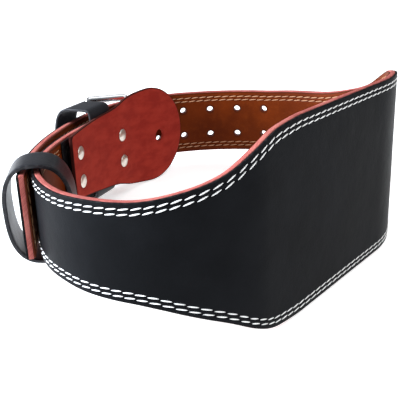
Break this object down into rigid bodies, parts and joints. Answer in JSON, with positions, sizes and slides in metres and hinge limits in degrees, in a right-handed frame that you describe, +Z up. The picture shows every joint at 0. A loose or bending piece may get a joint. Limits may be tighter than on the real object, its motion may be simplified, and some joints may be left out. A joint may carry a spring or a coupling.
{
  "type": "weightlifting belt",
  "caption": "Leather weightlifting belt standing on edge as a fastened loop, with a wide lumbar panel, a roller buckle with prongs, a riveted suede guard flap and keeper loops.",
  "frame": {"origin": "on the floor, under the middle of the belt's bounding box as it stands", "axes": "+Z up; +X to the right as seen in the picture, towards the lumbar panel; +Y away from the viewer, towards the tail that runs along the back"},
  "size_m": [0.335, 0.3602, 0.1517],
  "materials": {
    "core_leather": "raw dyed red split leather, matte, showing at the cut edges",
    "black_leather": "smooth satin black with white stitching along both edges",
    "brown_leather": "smooth satin brown with beige stitching along both edges",
    "red_suede": "napped dark red suede, matte",
    "keeper_leather": "smooth satin black",
    "nickel": "dull nickel plate",
    "chrome": "bright chrome plate"
  },
  "bodies": {
    "root": {"core": "core_leather", "outer_leather": "black_leather", "lining": "brown_leather", "buckle_guard": "red_suede", "rivet_upper_1": "nickel", "rivet_lower_1": "nickel", "rivet_upper_2": "nickel", "rivet_lower_2": "nickel", "buckle_frame": "chrome", "roller": "chrome", "prong_upper": "chrome", "prong_lower": "chrome", "guard_keeper": "keeper_leather", "loose_keeper": "keeper_leather"}
  },
  "joints": []
}
